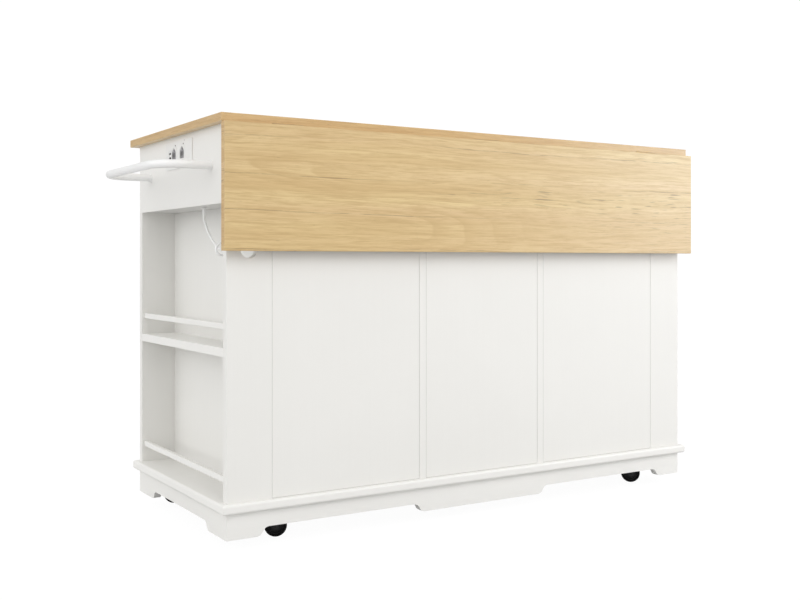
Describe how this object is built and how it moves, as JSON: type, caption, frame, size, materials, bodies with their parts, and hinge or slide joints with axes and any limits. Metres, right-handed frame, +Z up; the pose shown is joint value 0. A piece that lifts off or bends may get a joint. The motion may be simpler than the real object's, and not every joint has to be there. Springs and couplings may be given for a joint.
{
  "type": "drop leaf kitchen island",
  "caption": "Kitchen island on swivel casters with a wooden worktop and hinged drop leaf, an open shelf bay with sockets and a towel bar, drawers and doors.",
  "frame": {"origin": "floor point under the middle of the cabinet", "axes": "+X along the length towards the end with the sockets and the towel bar, +Y towards the drop leaf, +Z up"},
  "size_m": [1.4465, 0.6125, 0.9],
  "materials": {
    "oak": "satin oak grain",
    "white_paint": "satin warm white painted board",
    "drawer_wood": "plain clear board",
    "white_metal": "smooth white powder coat",
    "steel": "satin nickel",
    "white_plastic": "smooth moulded plastic",
    "grey_plastic": "fine matt moulded plastic",
    "lead_white": "soft white cable sheath",
    "black_metal": "black coated pressed steel",
    "black_plastic": "matt black moulded plastic",
    "black_rubber": "matt black tread"
  },
  "bodies": {
    "root": {"worktop": "oak", "back_panels": "white_paint", "corner_stiles": "white_paint", "bay_dividers": "white_paint", "inner_dividers": "white_paint", "carcass_rails": "white_paint", "end_boxes": "white_paint", "bay_shelves": "white_paint", "gallery_rails": "white_paint", "base_slab": "white_paint", "skirt_rear": "white_paint", "skirt_front": "white_paint", "skirt_ends": "white_paint", "caster_blocks": "white_paint", "cupboard_shelves": "white_paint", "shelf_pins": "steel", "drawer_runners": "steel", "door_hinge_plates": "steel", "flap_hinge_plates": "steel", "socket_plate": "white_plastic", "socket_inserts": "grey_plastic", "socket_case": "white_plastic", "towel_bar": "white_metal", "caster_plates": "steel", "lead_gland": "white_plastic", "lead_eye": "white_plastic", "lead_drop": "lead_white", "lead_coil": "lead_white", "lead_tail": "lead_white", "lead_plug": "white_plastic", "lead_tie": "black_plastic"},
    "leaf": {"drop_leaf": "oak", "flap_hinge_leaves": "steel"},
    "drawer_left": {"drawer_left_front": "white_paint", "drawer_left_box": "drawer_wood", "drawer_left_knob": "steel"},
    "drawer_middle": {"drawer_middle_front": "white_paint", "drawer_middle_box": "drawer_wood", "drawer_middle_knob": "steel"},
    "drawer_right": {"drawer_right_front": "white_paint", "drawer_right_box": "drawer_wood", "drawer_right_knob": "steel"},
    "door_left": {"door_left_panel": "white_paint", "door_left_hinges": "steel", "door_left_knob": "steel"},
    "door_right": {"door_right_panel": "white_paint", "door_right_hinges": "steel", "door_right_knob": "steel"},
    "fork_rear_a": {"caster_rear_a_fork": "black_metal"},
    "wheel_rear_a": {"caster_rear_a_wheel": "black_rubber"},
    "fork_rear_b": {"caster_rear_b_fork": "black_metal"},
    "wheel_rear_b": {"caster_rear_b_wheel": "black_rubber"},
    "fork_front_a": {"caster_front_a_fork": "black_metal"},
    "wheel_front_a": {"caster_front_a_wheel": "black_rubber"},
    "fork_front_b": {"caster_front_b_fork": "black_metal"},
    "wheel_front_b": {"caster_front_b_wheel": "black_rubber"},
    "pedal_front_a": {"caster_front_a_pedal": "black_plastic"},
    "pedal_front_b": {"caster_front_b_pedal": "black_plastic"}
  },
  "joints": [
    {"name": "leaf_fold", "type": "hinge", "parent": "root", "child": "leaf", "pos_m": [0, 0.291, 0.8815], "axis": [1, 0, 0], "range_deg": [0, 90]},
    {"name": "drawer_left_slide", "type": "slide", "parent": "root", "child": "drawer_left", "axis": [0, -1, 0], "range_m": [0, 0.35]},
    {"name": "drawer_middle_slide", "type": "slide", "parent": "root", "child": "drawer_middle", "axis": [0, -1, 0], "range_m": [0, 0.35]},
    {"name": "drawer_right_slide", "type": "slide", "parent": "root", "child": "drawer_right", "axis": [0, -1, 0], "range_m": [0, 0.35]},
    {"name": "door_left_swing", "type": "hinge", "parent": "root", "child": "door_left", "pos_m": [-0.5495, -0.2805, 0.4], "axis": [0, 0, -1], "range_deg": [0, 170]},
    {"name": "door_right_swing", "type": "hinge", "parent": "root", "child": "door_right", "pos_m": [0.5495, -0.2805, 0.4], "axis": [0, 0, 1], "range_deg": [0, 170]},
    {"name": "swivel_rear_a", "type": "hinge", "parent": "root", "child": "fork_rear_a", "pos_m": [0.5285, 0.193, 0.056], "axis": [0, 0, 1], "continuous": true},
    {"name": "roll_rear_a", "type": "hinge", "parent": "fork_rear_a", "child": "wheel_rear_a", "pos_m": [0.50765, 0.20272, 0.025], "axis": [-0.4226, -0.9063, 0], "continuous": true},
    {"name": "swivel_rear_b", "type": "hinge", "parent": "root", "child": "fork_rear_b", "pos_m": [-0.5285, 0.193, 0.056], "axis": [0, 0, 1], "continuous": true},
    {"name": "roll_rear_b", "type": "hinge", "parent": "fork_rear_b", "child": "wheel_rear_b", "pos_m": [-0.54734, 0.20619, 0.025], "axis": [-0.5736, -0.8192, 0], "continuous": true},
    {"name": "swivel_front_a", "type": "hinge", "parent": "root", "child": "fork_front_a", "pos_m": [0.5685, -0.203, 0.056], "axis": [0, 0, 1], "continuous": true},
    {"name": "roll_front_a", "type": "hinge", "parent": "fork_front_a", "child": "wheel_front_a", "pos_m": [0.58559, -0.21839, 0.025], "axis": [0.6691, 0.7431, 0], "continuous": true},
    {"name": "brake_front_a", "type": "hinge", "parent": "fork_front_a", "child": "pedal_front_a", "pos_m": [0.59637, -0.22809, 0.0524], "axis": [0.6691, 0.7431, 0], "range_deg": [0, 9]},
    {"name": "swivel_front_b", "type": "hinge", "parent": "root", "child": "fork_front_b", "pos_m": [-0.5685, -0.203, 0.056], "axis": [0, 0, 1], "continuous": true},
    {"name": "roll_front_b", "type": "hinge", "parent": "fork_front_b", "child": "wheel_front_b", "pos_m": [-0.5915, -0.203, 0.025], "axis": [0, -1, 0], "continuous": true},
    {"name": "brake_front_b", "type": "hinge", "parent": "fork_front_b", "child": "pedal_front_b", "pos_m": [-0.606, -0.203, 0.0524], "axis": [0, -1, 0], "range_deg": [0, 9]}
  ]
}
